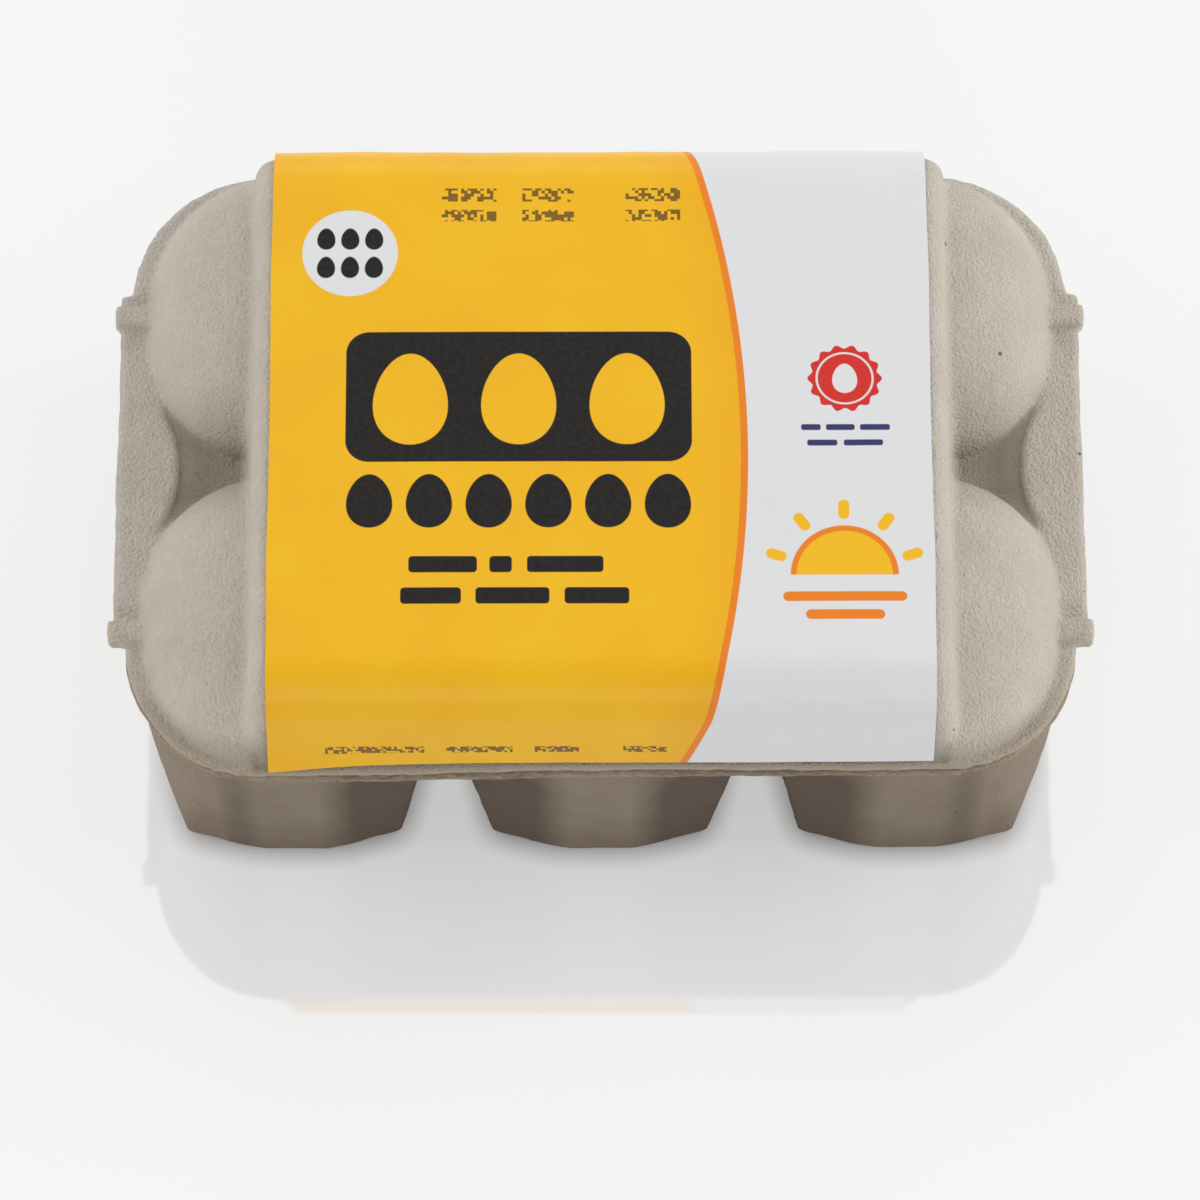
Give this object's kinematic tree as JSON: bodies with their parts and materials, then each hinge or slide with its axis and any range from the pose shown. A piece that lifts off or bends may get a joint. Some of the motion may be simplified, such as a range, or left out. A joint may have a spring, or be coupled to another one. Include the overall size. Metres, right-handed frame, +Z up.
{
  "type": "shut egg carton",
  "caption": "Shut moulded pulp egg carton on faceted feet, with half domes over the end eggs, rim lugs and a printed paper sleeve over the raised lid panel.",
  "frame": {"origin": "on the surface that the feet stand on, below the middle of the carton", "axes": "+Z up, X along the long side, the front with the label's lower edge and no hinge faces -Y"},
  "size_m": [0.152, 0.1016, 0.0687],
  "materials": {
    "pulp_tray": "matt moulded paper pulp, darker on the sides of the cups",
    "pulp_lid": "matt moulded paper pulp, fine grain with dark specks",
    "label_paper": "coated paper with a soft gloss, yellow and white fields with simple shapes"
  },
  "bodies": {
    "root": {"tray": "pulp_tray", "lid": "pulp_lid", "label": "label_paper"}
  },
  "joints": []
}
